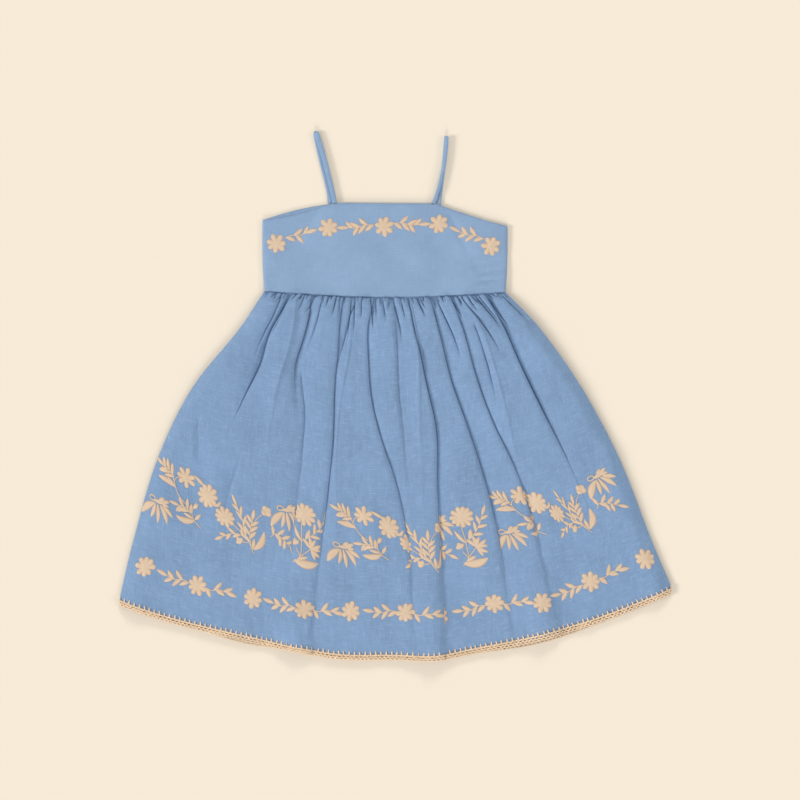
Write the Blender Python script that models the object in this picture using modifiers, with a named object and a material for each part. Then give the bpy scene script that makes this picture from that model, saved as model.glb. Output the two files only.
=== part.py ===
"""A child's sarafan sundress, laid flat on a table with its front up.

Metres. X runs across the dress, Y from the hem to the straps, Z up from the table.
The origin lies on the table under the middle of the dress.
"""

import math
from collections import namedtuple

import bmesh
import bpy
from mathutils import Vector

# Driving sizes.
SKIRT_CLOTH = 0.0012
BODICE_CLOTH = 0.0016
TRIM_CLOTH = 0.0014
SEAM_GAP = 0.0003
TRIM_WIDTH = 0.0060
WAIST_SAG = 0.0065

Place = namedtuple("Place", "x y")
Strap = namedtuple("Strap", "width thickness front back")
Edge = namedtuple("Edge", "at height")
Wave = namedtuple("Wave", "across size half_width")
Fold = namedtuple("Fold", "name waist middle hem start end depth half_width")

# The skirt's two side folds, from the waist seam down to the hem.
LEFT_SIDE = (
    Place(-0.1610, 0.1300),
    Place(-0.1930, 0.0820),
    Place(-0.2510, 0.0090),
    Place(-0.2930, -0.0780),
    Place(-0.3220, -0.1760),
    Place(-0.3397, -0.2500),
)
RIGHT_SIDE = (
    Place(0.1340, 0.1287),
    Place(0.1780, 0.0820),
    Place(0.2290, 0.0090),
    Place(0.2750, -0.0780),
    Place(0.3135, -0.1760),
    Place(0.3388, -0.2350),
)

# The front hem is a shallow bow between the side corners, with a few waves in it. The back hem
# drops a little further in places.
HEM_BOW = 0.0737
HEM_WAVES = (
    Wave(0.210, -0.0050, 0.130),
    Wave(0.400, 0.0020, 0.060),
    Wave(0.575, 0.0040, 0.055),
)
BACK_HEM_DROPS = (
    Wave(0.222, 0.0035, 0.050),
    Wave(0.550, 0.0010, 0.045),
    Wave(0.760, 0.0045, 0.090),
)

# The bodice's corners, and its top edge by share of the width.
BODICE_TOP_X = (-0.1635, 0.1365)
BODICE_BASE_X = (-0.1610, 0.1340)
WAIST_ENDS_Y = (0.1300, 0.1287)
STRAP_LEFT_AT = 7 / 24
STRAP_RIGHT_AT = 17 / 24
FRONT_NECK = (
    Edge(0.000, 0.2165),
    Edge(0.150, 0.2255),
    Edge(0.240, 0.2325),
    Edge(STRAP_LEFT_AT, 0.2375),
    Edge(STRAP_RIGHT_AT, 0.2367),
    Edge(0.750, 0.2325),
    Edge(0.800, 0.2256),
    Edge(0.875, 0.2180),
    Edge(1.000, 0.2090),
)
BACK_NECK = (
    Edge(0.000, 0.2175),
    Edge(0.150, 0.2280),
    Edge(0.250, 0.2360),
    Edge(STRAP_LEFT_AT, 0.2375),
    Edge(STRAP_RIGHT_AT, 0.2360),
    Edge(0.750, 0.2320),
    Edge(0.800, 0.2250),
    Edge(0.875, 0.2175),
    Edge(1.000, 0.2085),
)

# The straps, each folded over at the shoulder, with its front run lying on its back one. Each run
# goes from its foot on the bodice up to the fold.
STRAP_LEFT = Strap(
    width=0.0060,
    thickness=0.0020,
    front=(Place(-0.0752, 0.2381), Place(-0.0790, 0.2560), Place(-0.0880, 0.2920), Place(-0.0974, 0.3230)),
    back=(Place(-0.0806, 0.2378), Place(-0.0830, 0.2560), Place(-0.0918, 0.2920), Place(-0.0986, 0.3230)),
)
STRAP_RIGHT = Strap(
    width=0.0044,
    thickness=0.0024,
    front=(Place(0.0455, 0.2374), Place(0.0525, 0.2560), Place(0.0596, 0.2880), Place(0.0624, 0.3175)),
    back=(Place(0.0530, 0.2364), Place(0.0552, 0.2560), Place(0.0590, 0.2880), Place(0.0614, 0.3175)),
)

# The folds that run down from the gathers, as shares of the width at the waist, half way and at
# the hem, with the shares of the length where each starts and ends.
FRONT_FOLDS = (
    Fold("left_deep", 0.09, 0.17, 0.22, 0.02, 0.55, 0.0065, 0.007),
    Fold("left_upper", 0.19, 0.28, 0.30, 0.00, 0.40, 0.0050, 0.006),
    Fold("left_lower", 0.25, 0.32, 0.31, 0.18, 1.00, 0.0035, 0.008),
    Fold("left_inner", 0.32, 0.37, 0.36, 0.00, 1.00, 0.0045, 0.007),
    Fold("middle_left", 0.42, 0.50, 0.53, 0.00, 1.00, 0.0045, 0.008),
    Fold("centre_short", 0.53, 0.58, 0.60, 0.00, 0.55, 0.0035, 0.009),
    Fold("centre", 0.59, 0.61, 0.60, 0.00, 1.10, 0.0060, 0.006),
    Fold("right_inner", 0.70, 0.70, 0.71, 0.00, 0.98, 0.0055, 0.007),
    Fold("right_middle", 0.79, 0.78, 0.79, 0.00, 1.10, 0.0055, 0.007),
    Fold("right_deep", 0.91, 0.89, 0.87, 0.00, 0.62, 0.0065, 0.008),
)
BACK_FOLDS = (
    Fold("left", 0.14, 0.20, 0.24, 0.02, 0.60, -0.0022, 0.009),
    Fold("middle_left", 0.36, 0.38, 0.40, 0.01, 0.90, -0.0018, 0.010),
    Fold("middle_right", 0.60, 0.58, 0.57, 0.02, 0.70, -0.0022, 0.009),
    Fold("right", 0.83, 0.80, 0.77, 0.01, 0.80, -0.0020, 0.010),
)
# Where the front hem stands off the back one.
HEM_LIFTS = (
    Wave(0.035, 0.0030, 0.030),
    Wave(0.325, 0.0045, 0.035),
    Wave(0.570, 0.0060, 0.035),
    Wave(0.760, 0.0045, 0.040),
    Wave(0.975, 0.0020, 0.020),
)
# How far the front skirt stands off the back one, by share of the length.
SKIRT_LOFT = (
    Edge(0.00, 0.0022),
    Edge(0.05, 0.0078),
    Edge(0.25, 0.0085),
    Edge(0.60, 0.0065),
    Edge(1.00, 0.0040),
)
GATHERS = 21
GATHER_DEPTH = 0.0016
GATHER_LENGTH = 0.14
FLATTEST_LOFT = 0.0004
SIDE_ROLL = 0.016
FOLD_OPENS = 0.06
FOLD_DIES = 0.22
BODICE_AIR = 0.0022
TRIM_LEAN_FROM = 0.97

# Grid counts: columns across and rows down.
FRONT_GRID = (84, 13)
BACK_GRID = (48, 9)
BODICE_GRID = (24, 5)
STRAP_COLUMNS = 2
STRAP_RUN_ROWS = 10
STRAP_TURN_ROWS = 6


def smooth_step(low, high, value):
    """0 below low, 1 above high, and a smooth rise between."""
    share = min(1.0, max(0.0, (value - low) / (high - low)))
    return share * share * (3.0 - 2.0 * share)


def spline(values, at):
    """A Catmull-Rom value through evenly spaced values, at from 0 to 1."""
    last = len(values) - 1
    step = min(int(at * last), last - 1)
    share = at * last - step
    before = values[step - 1] if step else 2 * values[0] - values[1]
    after = values[step + 2] if step + 2 <= last else 2 * values[last] - values[last - 1]
    start, end = values[step], values[step + 1]
    slope = end - before
    bend = 2 * before - 5 * start + 4 * end - after
    twist = 3 * (start - end) + after - before
    return start + 0.5 * share * (slope + share * (bend + share * twist))


def along(table, at):
    """The height of a table of edges at a share of its length."""
    low, high = next(pair for pair in zip(table, table[1:]) if at <= pair[1].at)
    return low.height + (high.height - low.height) * (at - low.at) / (high.at - low.at)


def waves(table, across):
    """The sum of a table of smooth waves at a share of the width."""
    return sum(wave.size * math.exp(-(((across - wave.across) / wave.half_width) ** 2)) for wave in table)


def side(table, down):
    """The point of a side fold at a share of its length."""
    return spline([p.x for p in table], down), spline([p.y for p in table], down)


def waist_y(across):
    left, right = WAIST_ENDS_Y
    return left + (right - left) * across - WAIST_SAG * math.sin(math.pi * across)


def hem_y(across):
    left, right = LEFT_SIDE[-1].y, RIGHT_SIDE[-1].y
    bow = HEM_BOW * (1.0 - (2.0 * across - 1.0) ** 2)
    return left + (right - left) * across - bow - waves(HEM_WAVES, across)


def skirt_plan(across, down, longer=0.0):
    """The point of a skirt panel on the table: a patch between the waist, the hem and the sides."""
    left, right = side(LEFT_SIDE, down), side(RIGHT_SIDE, down)
    waist = (LEFT_SIDE[0].x + (RIGHT_SIDE[0].x - LEFT_SIDE[0].x) * across, waist_y(across))
    hem = (LEFT_SIDE[-1].x + (RIGHT_SIDE[-1].x - LEFT_SIDE[-1].x) * across, hem_y(across) - longer)
    corners = (LEFT_SIDE[0], RIGHT_SIDE[0], LEFT_SIDE[-1], RIGHT_SIDE[-1])
    point = []
    for axis in (0, 1):
        ruled = (1 - down) * waist[axis] + down * hem[axis]
        ruled += (1 - across) * left[axis] + across * right[axis]
        ruled -= (1 - down) * ((1 - across) * corners[0][axis] + across * corners[1][axis])
        ruled -= down * ((1 - across) * corners[2][axis] + across * corners[3][axis])
        point.append(ruled)
    return point


def skirt_width(down):
    """How wide the skirt lies at a share of its length."""
    return side(RIGHT_SIDE, down)[0] - side(LEFT_SIDE, down)[0]


def folds_depth(folds, across, down):
    """How deep the folds cut at a point, in metres."""
    total = 0.0
    for fold in folds:
        centre = spline((fold.waist, fold.middle, fold.hem), down)
        reach = smooth_step(fold.start - FOLD_OPENS / 3, fold.start + FOLD_OPENS, down)
        reach *= 1.0 - smooth_step(fold.end - FOLD_DIES, fold.end, down)
        away = (across - centre) * skirt_width(down) / fold.half_width
        total += fold.depth * reach / (1.0 + away * away)
    return total


def side_roll(across, down):
    """0 at the side folds and 1 further in, where the front stands off the back."""
    inward = min(across, 1.0 - across) * skirt_width(down) / SIDE_ROLL
    return math.sin(0.5 * math.pi * min(1.0, inward))


def back_lift(across, down):
    """The underside of the back skirt: flat on the table but for a few soft folds."""
    return side_roll(across, down) * -folds_depth(BACK_FOLDS, across, down)


def front_lift(across, down):
    """The underside of the front skirt."""
    loft = along(SKIRT_LOFT, down)
    loft += waves(HEM_LIFTS, across) * smooth_step(0.55, 1.0, down)
    gathers = GATHER_DEPTH * math.cos(2 * math.pi * GATHERS * across)
    loft += gathers * smooth_step(0.0, 0.04, down) * (1.0 - smooth_step(0.04, GATHER_LENGTH, down))
    loft = max(FLATTEST_LOFT, loft - folds_depth(FRONT_FOLDS, across, down))
    over_back = max(0.0, back_lift(across, down)) + SKIRT_CLOTH + 2 * SEAM_GAP
    return over_back + side_roll(across, down) * loft


def colour_of(name, colour, roughness):
    made = bpy.data.materials.new(name)
    made.use_nodes = True
    shader = made.node_tree.nodes["Principled BSDF"]
    shader.inputs["Base Color"].default_value = (*colour, 1.0)
    shader.inputs["Roughness"].default_value = roughness
    shader.inputs["Metallic"].default_value = 0.0
    return made


def panel(name, grid, thickness, place, material, collection, offset=1.0):
    """A sheet of cloth: a grid laid by place(across, down) as its underside, thickened upwards.

    With an offset of 0 the grid is the middle of the cloth.
    """
    mesh = bpy.data.meshes.new(name)
    shape = bmesh.new()
    bmesh.ops.create_grid(shape, x_segments=grid[0], y_segments=grid[1], size=1.0)
    for vertex in shape.verts:
        across, down = (vertex.co.x + 1) / 2, (1 - vertex.co.y) / 2
        vertex.co = Vector(place(min(1.0, max(0.0, across)), min(1.0, max(0.0, down))))
    shape.to_mesh(mesh)
    shape.free()
    mesh.shade_smooth()
    mesh.set_sharp_from_angle(angle=math.radians(50))
    mesh.materials.append(material)
    cloth = bpy.data.objects.new(name, mesh)
    wall = cloth.modifiers.new("cloth", "SOLIDIFY")
    wall.thickness = thickness
    wall.offset = offset
    collection.objects.link(cloth)


def skirt_front(across, down):
    x, y = skirt_plan(across, down)
    return x, y - SEAM_GAP * (1 - down), front_lift(across, down)


def skirt_back(across, down):
    x, y = skirt_plan(across, down, waves(BACK_HEM_DROPS, across))
    return x, y - SEAM_GAP * (1 - down), back_lift(across, down)


def trim_below(skirt):
    """The crocheted edging of a skirt panel, worked on from its hem in the cloth's own direction."""

    def place(across, down):
        hem, above = Vector(skirt(across, 1.0)), Vector(skirt(across, TRIM_LEAN_FROM))
        outward = (hem - above).to_2d().normalized().to_3d()
        return hem + outward * (SEAM_GAP + TRIM_WIDTH * down)

    return place


def bodice(neck, lift):
    def place(across, down):
        top_x = BODICE_TOP_X[0] + (BODICE_TOP_X[1] - BODICE_TOP_X[0]) * across
        base_x = BODICE_BASE_X[0] + (BODICE_BASE_X[1] - BODICE_BASE_X[0]) * across
        ease = down**3
        top_y, base_y = along(neck, across), waist_y(across) + SEAM_GAP
        return top_x + (base_x - top_x) * ease, top_y + (base_y - top_y) * down, lift(across, down)

    return place


def bodice_front_lift(across, down):
    """The underside of the bodice front, cushioned by air and level with the skirt at the seam."""
    over_back = BODICE_CLOTH + 2 * SEAM_GAP
    air = BODICE_AIR * math.sin(math.pi * across) ** 0.6 * math.sin(math.pi * down) ** 0.7
    seam = max(0.0, front_lift(across, 0.0) - over_back)
    return over_back + air + seam * down**4


def strap(made):
    """The middle of a strap's cloth: up its front run, over at the shoulder and down its back run."""
    low = made.thickness / 2
    radius = low + SEAM_GAP / 2
    top = low + 2 * radius
    foot = BODICE_CLOTH * 1.5 + 2 * SEAM_GAP
    runs = {"front": made.front, "back": made.back}
    rows = 2 * STRAP_RUN_ROWS + STRAP_TURN_ROWS

    def route(run, share):
        points = runs[run]
        return Vector((spline([p.x for p in points], share), spline([p.y for p in points], share), 0.0))

    def place(across, down):
        row = round(down * rows)
        turned = (row - STRAP_RUN_ROWS) / STRAP_TURN_ROWS
        if turned <= 0:
            share = row / STRAP_RUN_ROWS
            height = foot + (top - foot) * smooth_step(0.0, 0.3, share)
            centre = route("front", share) + Vector((0, 0, height))
        elif turned >= 1:
            share = (rows - row) / STRAP_RUN_ROWS
            centre = route("back", share) + Vector((0, 0, low))
        else:
            angle = math.pi * turned
            centre = route("front", 1.0).lerp(route("back", 1.0), turned)
            centre += Vector((0, radius * math.sin(angle), low + radius * (1 + math.cos(angle))))
        return centre + Vector((made.width * (0.5 - across), 0, 0))

    return place


def clear_scene():
    """Removes what the file holds."""
    for thing in list(bpy.data.objects):
        bpy.data.objects.remove(thing, do_unlink=True)


def main():
    clear_scene()
    dress = bpy.data.collections.new("sarafan_sundress")
    bpy.context.scene.collection.children.link(dress)
    linen = colour_of("blue_linen", (0.25, 0.37, 0.56), 0.85)
    cotton = colour_of("cream_cotton", (0.72, 0.52, 0.35), 0.75)

    panel("skirt_back", BACK_GRID, SKIRT_CLOTH, skirt_back, linen, dress)
    panel("skirt_front", FRONT_GRID, SKIRT_CLOTH, skirt_front, linen, dress)
    panel("hem_trim_back", (BACK_GRID[0], 1), TRIM_CLOTH, trim_below(skirt_back), cotton, dress)
    panel("hem_trim_front", (FRONT_GRID[0], 1), TRIM_CLOTH, trim_below(skirt_front), cotton, dress)
    flat = bodice(BACK_NECK, lambda across, down: 0.0)
    raised = bodice(FRONT_NECK, bodice_front_lift)
    panel("bodice_back", BODICE_GRID, BODICE_CLOTH, flat, linen, dress)
    panel("bodice_front", BODICE_GRID, BODICE_CLOTH, raised, linen, dress)
    strap_grid = (STRAP_COLUMNS, 2 * STRAP_RUN_ROWS + STRAP_TURN_ROWS)
    for name, made in (("strap_left", STRAP_LEFT), ("strap_right", STRAP_RIGHT)):
        panel(name, strap_grid, made.thickness, strap(made), linen, dress, offset=0.0)
    print("ok")


if __name__ == "__main__":
    main()
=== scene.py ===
"""Looks of a child's sarafan sundress, laid flat with its front up.

Metres throughout. Cloth is drawn in its own coordinates: s across the panel from the middle,
t up from its hem and h out from its face. A ClothMap carries those points onto the folded cloth.
"""

import math
from collections import namedtuple
from functools import cache

import bmesh
import bpy
import numpy as np
from bpy.props import FloatProperty, FloatVectorProperty, PointerProperty
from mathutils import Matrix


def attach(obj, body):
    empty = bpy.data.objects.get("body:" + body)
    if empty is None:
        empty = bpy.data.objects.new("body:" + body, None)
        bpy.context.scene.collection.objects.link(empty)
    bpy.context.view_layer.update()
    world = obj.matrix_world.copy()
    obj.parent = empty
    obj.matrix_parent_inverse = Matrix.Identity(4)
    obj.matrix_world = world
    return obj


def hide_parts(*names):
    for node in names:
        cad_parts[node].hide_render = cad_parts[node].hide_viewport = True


bl_info = {
    "name": "Sarafan Sundress",
    "version": (1, 0, 0),
    "blender": (4, 5, 0),
    "location": "3D View > Sidebar > Sundress",
    "description": "Makes an embroidered child's sundress laid flat, and its stage",
    "category": "Object",
}

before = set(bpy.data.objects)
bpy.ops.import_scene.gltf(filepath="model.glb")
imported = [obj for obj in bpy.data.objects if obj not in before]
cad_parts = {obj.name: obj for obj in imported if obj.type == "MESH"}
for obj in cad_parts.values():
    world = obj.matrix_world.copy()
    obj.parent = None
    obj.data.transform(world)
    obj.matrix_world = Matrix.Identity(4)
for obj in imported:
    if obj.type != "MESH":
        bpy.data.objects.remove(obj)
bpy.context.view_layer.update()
BODY = "root"

Place = namedtuple("Place", "x y")
Wave = namedtuple("Wave", "across size half_width")
Crease = namedtuple("Crease", "name start end path depth left right tuck")
Line = namedtuple("Line", "name x0 y0 x1 y1 depth half_width")
Strap = namedtuple("Strap", "width thickness front back")
Bloom = namedtuple("Bloom", "x y turn")
Branch = namedtuple("Branch", "x0 y0 x1 y1 leaves")
Leaf = namedtuple("Leaf", "across up angle length width bend")
Crumple = namedtuple("Crumple", "seed count longest shortest stretch height")
Loops = namedtuple("Loops", "out high")
Lamp = namedtuple("Lamp", "name azimuth height share")

MM = 0.001

# The form, as in the frame.
SKIRT_CLOTH = 0.0012
SKIRT_TOP_CLOTH = 0.0009
BODICE_CLOTH = 0.0016
SEAM_GAP = 0.0003
WAIST_SAG = 0.0065
WAIST_TUCK = 0.0016
WAIST_TUCK_END = 0.006
LEFT_SIDE = (
    Place(-0.1610, 0.1300),
    Place(-0.1930, 0.0820),
    Place(-0.2510, 0.0090),
    Place(-0.2930, -0.0780),
    Place(-0.3220, -0.1760),
    Place(-0.3397, -0.2500),
)
RIGHT_SIDE = (
    Place(0.1340, 0.1287),
    Place(0.1780, 0.0820),
    Place(0.2290, 0.0090),
    Place(0.2750, -0.0780),
    Place(0.3135, -0.1760),
    Place(0.3388, -0.2350),
)
HEM_BOW = 0.0737

# Waves along the hem: where they are as a share of its width, how large in metres, and how wide as a
# share. The first two move the hems down the table, and the last lifts the front one off the back.
HEM_WAVES = (
    Wave(0.210, -0.0050, 0.130),
    Wave(0.400, 0.0020, 0.060),
    Wave(0.575, 0.0040, 0.055),
)
BACK_HEM_DROPS = (
    Wave(0.222, 0.0035, 0.050),
    Wave(0.550, 0.0010, 0.045),
    Wave(0.760, 0.0045, 0.090),
)
HEM_LIFTS = (
    Wave(0.035, 0.0030, 0.030),
    Wave(0.325, 0.0045, 0.035),
    Wave(0.570, 0.0060, 0.035),
    Wave(0.760, 0.0045, 0.040),
    Wave(0.975, 0.0020, 0.020),
)
BODICE_TOP_X = (-0.1635, 0.1365)
BODICE_BASE_X = (-0.1610, 0.1340)
WAIST_ENDS_Y = (0.1300, 0.1287)
STRAP_LEFT_AT = 7 / 24
STRAP_RIGHT_AT = 17 / 24
NECK_Y = (0.2375, 0.2367)
FRONT_ARMHOLES_Y = (0.2165, 0.2090)
FRONT_ARMHOLE_SAGS = (0.0034, 0.0017)
BACK_ARMHOLES_Y = (0.2175, 0.2085)
BACK_ARMHOLE_SAGS = (-0.0028, 0.0)
SIDE_ROLL = 0.016
BODICE_WIDTH = 0.300
BODICE_HEIGHT = 0.105
BODICE_AIR = 0.0022
SEAM_RISE = 0.0013
EDGE_ROLL = 0.0008
EDGE_WIDTH = 0.0022

# How finely the sheets are divided.
FRONT_ROWS, FRONT_COLUMNS = 106, 456
BACK_ROWS, BACK_COLUMNS = 90, 180
BODICE_ROWS, BODICE_COLUMNS = 46, 24 * 5 + 1
BODICE_BACK_ROWS, BODICE_BACK_COLUMNS = 24, 24 * 4 + 1
STRAP_ROWS, STRAP_ROUND = 90, 14
# The front's columns stand closer by the leading creases, and its rows by the waist.
EXTRA_COLUMNS = 2.2
CLOSE_WITHIN = 0.011
ROW_POWER = 1.5

# How far the front skirt stands off the back one: at shares of the length, in metres.
LOFT_AT = (0.0, 0.004, 0.010, 0.022, 0.06, 0.20, 0.40, 0.70, 1.0)
LOFT = (-0.0010, -0.0006, 0.0050, 0.0068, 0.0084, 0.0090, 0.0080, 0.0058, 0.0016)
LEAST_LOFT = 0.0002
LOFT_EASING = 0.0009
HEM_LIFT_FROM = (0.55, 1.0)
BUNCHED_FADE = (0.004, 0.022)
LOOSE_FROM = (0.0, 0.10)

# The creases of the front skirt, listed one by one. They start and end at shares of the length, or past
# the hem. A path holds shares of the width at even steps from the start to the end or the hem. Left and
# right say how wide the cloth dips on each side, and a tuck is the cloth that the crease hides.
FRONT_CREASES = (
    Crease(
        "left deep", 0.00, 0.50,
        (0.117, 0.104, 0.101, 0.128, 0.132, 0.126), 0.0085, 0.0110, 0.0014, 0.004,
    ),
    Crease(
        "left deep twin", 0.02, 0.30,
        (0.079, 0.080, 0.081, 0.081, 0.090, 0.107), 0.0030, 0.0040, 0.0019, 0.0,
    ),
    Crease("left short", 0.56, 0.70, (0.167, 0.163, 0.161, 0.158), 0.0022, 0.0050, 0.0012, 0.0),
    Crease(
        "left upper", 0.00, 0.46,
        (0.195, 0.207, 0.211, 0.220, 0.256, 0.300), 0.0046, 0.0014, 0.0120, 0.0,
    ),
    Crease(
        "left lower", 0.30, 1.10,
        (0.247, 0.290, 0.302, 0.305, 0.302, 0.300, 0.301, 0.303), 0.0026, 0.0080, 0.0040, 0.009,
    ),
    Crease(
        "left inner", 0.00, 1.50,
        (0.328, 0.323, 0.344, 0.368, 0.369, 0.359, 0.354, 0.350), 0.0036, 0.0019, 0.0100, 0.017,
    ),
    Crease(
        "left inner branch", 0.03, 0.30,
        (0.380, 0.361, 0.353, 0.348, 0.343, 0.338), 0.0027, 0.0050, 0.0012, 0.0,
    ),
    Crease(
        "middle left", 0.00, 1.40,
        (0.454, 0.424, 0.441, 0.478, 0.519, 0.538, 0.538, 0.540), 0.0035, 0.0015, 0.0100, 0.010,
    ),
    Crease(
        "centre short", 0.00, 0.70,
        (0.534, 0.522, 0.525, 0.538, 0.546, 0.554), 0.0023, 0.0019, 0.0120, 0.0,
    ),
    Crease(
        "centre", 0.00, 1.60,
        (0.597, 0.589, 0.604, 0.621, 0.608, 0.600, 0.595, 0.590), 0.0050, 0.0012, 0.0110, 0.024,
    ),
    Crease(
        "right inner", 0.00, 1.30,
        (0.685, 0.674, 0.676, 0.697, 0.712, 0.719, 0.718, 0.716), 0.0043, 0.0012, 0.0120, 0.014,
    ),
    Crease(
        "right middle", 0.00, 1.40,
        (0.769, 0.758, 0.750, 0.761, 0.785, 0.794, 0.797, 0.800), 0.0036, 0.0012, 0.0140, 0.012,
    ),
    Crease("right short", 0.06, 0.27, (0.819, 0.828, 0.838, 0.848), 0.0028, 0.0010, 0.0050, 0.0),
    Crease("right branch", 0.14, 0.42, (0.804, 0.797, 0.790, 0.783), 0.0024, 0.0040, 0.0010, 0.0),
    Crease(
        "right deep", 0.00, 0.72,
        (0.912, 0.896, 0.883, 0.886, 0.899, 0.912), 0.0054, 0.0012, 0.0140, 0.004,
    ),
    Crease("left outer", 0.47, 0.64, (0.048, 0.067, 0.088, 0.118), 0.0018, 0.0019, 0.0060, 0.0),
)
# The longest ones, which the columns of the sheet follow.
LEADING_CREASES = (
    "left deep",
    "left inner",
    "middle left",
    "centre",
    "right inner",
    "right middle",
    "right deep",
)
CREASE_START = (-0.012, 0.016)
CREASE_FADE = 0.55
# The back skirt has soft ridges, which are creases of a depth below 0.
BACK_CREASES = (
    Crease("back left", 0.02, 0.66, (0.140, 0.180, 0.215, 0.240), -0.0022, 0.0100, 0.0060, 0.0),
    Crease("back middle left", 0.01, 0.95, (0.360, 0.372, 0.386, 0.400), -0.0018, 0.0060, 0.0110, 0.0),
    Crease("back middle right", 0.02, 0.76, (0.600, 0.588, 0.577, 0.570), -0.0022, 0.0100, 0.0060, 0.0),
    Crease("back right", 0.01, 0.86, (0.830, 0.808, 0.788, 0.770), -0.0020, 0.0070, 0.0110, 0.0),
)
FOLD_DEPTH = 1.3
SLOPE_SHARE = 0.80
SLIT_SHARE = 0.60
SLIT_FADE = (0.30, 0.80)
SLIT_WIDTH = 0.0008
SLIT_WIDENS = 0.0005
SLOPE_SPREAD = 0.55
SLOPE_WIDENS = 0.65
BLUNT = 0.0002
BLUNT_GROWS = 0.0006
BLUNT_AT_HEM = 0.0050
WEAR_AT_HEM = 0.40
HEM_SOFTENS = (0.62, 0.95)
TUCK_EDGE = 0.0016
PUCKER_SEED = 11

# Random waves in the cloth: bunched at the waist seam, broad and fine over the skirt, and on the bodice.
BUNCHED = Crumple(seed=8, count=12, longest=0.016, shortest=0.005, stretch=1.0, height=0.0017)
BROAD = Crumple(seed=5, count=16, longest=0.080, shortest=0.030, stretch=3.0, height=0.00080)
FINE = Crumple(seed=6, count=18, longest=0.024, shortest=0.010, stretch=1.6, height=0.00022)
BODICE_WAVES = Crumple(seed=7, count=14, longest=0.090, shortest=0.035, stretch=1.0, height=0.00040)

# The faint creases of the bodice front, from one end to the other.
BODICE_CREASES = (
    Line("left strap", -0.0898, 0.2320, -0.1390, 0.1720, 0.0015, 0.0045),
    Line("right strap", 0.0630, 0.2300, 0.0910, 0.1720, 0.0014, 0.0045),
    Line("right side upper", 0.0860, 0.1600, 0.1345, 0.1700, 0.0024, 0.0060),
    Line("right side middle", 0.1000, 0.1500, 0.1345, 0.1570, 0.0022, 0.0030),
    Line("right side lower", 0.0950, 0.1400, 0.1300, 0.1440, 0.0024, 0.0035),
)

STRAP_LEFT = Strap(
    width=0.0060,
    thickness=0.0020,
    front=(
        Place(-0.0752, 0.2381),
        Place(-0.0790, 0.2560),
        Place(-0.0880, 0.2920),
        Place(-0.0974, 0.3230),
    ),
    back=(
        Place(-0.0806, 0.2378),
        Place(-0.0830, 0.2560),
        Place(-0.0918, 0.2920),
        Place(-0.0986, 0.3230),
    ),
)
STRAP_RIGHT = Strap(
    width=0.0044,
    thickness=0.0024,
    front=(
        Place(0.0455, 0.2374),
        Place(0.0525, 0.2560),
        Place(0.0596, 0.2880),
        Place(0.0624, 0.3175),
    ),
    back=(
        Place(0.0530, 0.2364),
        Place(0.0552, 0.2560),
        Place(0.0590, 0.2880),
        Place(0.0614, 0.3175),
    ),
)

# Embroidery, in millimetres on the cloth of its panel: the bodice's from the middle of the dress and
# up from the origin, the skirt's from the middle of the panel and up from its hem.
LENS_ROWS = 8
LENS_COLUMNS = 6
STEM_WIDTH = 1.3
GROUND = -0.05
BLOOM_RADIUS = 12.0
BODICE_BLOOMS = (
    Bloom(-146.3, 188.1, 8),
    Bloom(-82.4, 207.8, 30),
    Bloom(-14.8, 209.0, 16),
    Bloom(52.9, 212.7, 40),
    Bloom(116.8, 185.7, 22),
)
BODICE_BRANCHES = (
    Branch(-136.0, 195.5, -110.0, 201.0, 4),
    Branch(-26.5, 211.0, -58.5, 207.5, 6),
    Branch(-3.5, 213.0, 28.5, 211.5, 6),
    Branch(108.0, 194.0, 78.5, 203.0, 5),
)
BORDER_BLOOMS = (
    Place(-312.1, 51.7),
    Place(-246.0, 47.4),
    Place(-176.2, 47.9),
    Place(-110.8, 48.4),
    Place(-52.5, 54.3),
    Place(15.1, 53.6),
    Place(86.5, 47.7),
    Place(126.6, 50.6),
    Place(186.5, 38.6),
    Place(249.0, 46.0),
    Place(320.1, 47.1),
)
# The flower that a tuck half hides. The others lie clear of the tucks.
BORDER_TUCKED = 6

# Where the band starts, and the width of each repeat.
BAND_START = -315.5
BAND_REPEAT = 255
BAND_REPEATS = 3
# The panel flares, so its grain leans out from the middle: by a share of the repeat for each metre
# up from a level. At the right the cloth is slack. The level and the slack are in metres.
GRAIN_LEAN = 0.73
GRAIN_LEVEL = 0.150
RIGHT_SLACK = 0.018
RIGHT_SLACK_FROM = (0.255, 0.325)

LILY_PETALS = (
    Leaf(-4.5, 0.5, -138, 25, 8.0, -0.07),
    Leaf(-3.2, 0.5, -110, 19, 4.6, 0.05),
    Leaf(-0.3, 0.5, -91, 22, 4.8, 0.04),
    Leaf(2.8, 0.5, -66, 21, 5.8, 0.09),
    Leaf(6.0, 0.5, -38, 16, 5.0, 0.05),
)
LILY_BOW = (
    Leaf(-5.0, 3.6, 0, 13, 4.8, 0.0),
    Leaf(1.0, 4.2, 38, 9, 4.6, 0.0),
    Leaf(4.0, 4.0, 18, 11, 4.8, 0.0),
    Leaf(4.0, 3.4, -12, 10, 4.4, 0.0),
)

# Crochet: how far out and how high the loops of each row reach, as shares of its width.
CROCHET_SEED = 3
CROCHET_ROWS = (Loops(0.32, 0.21), Loops(0.73, 0.24))
LOOPS_PER_STITCH = 1.25
TRIM_INSET = 0.0004
STITCH_INSET = 0.0010
FRONT_TRIM_DROP = -0.0007
BACK_TRIM_RISE = 0.0004

LINEN_THREAD = 0.0006
COTTON_TWIST = 0.0006

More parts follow.
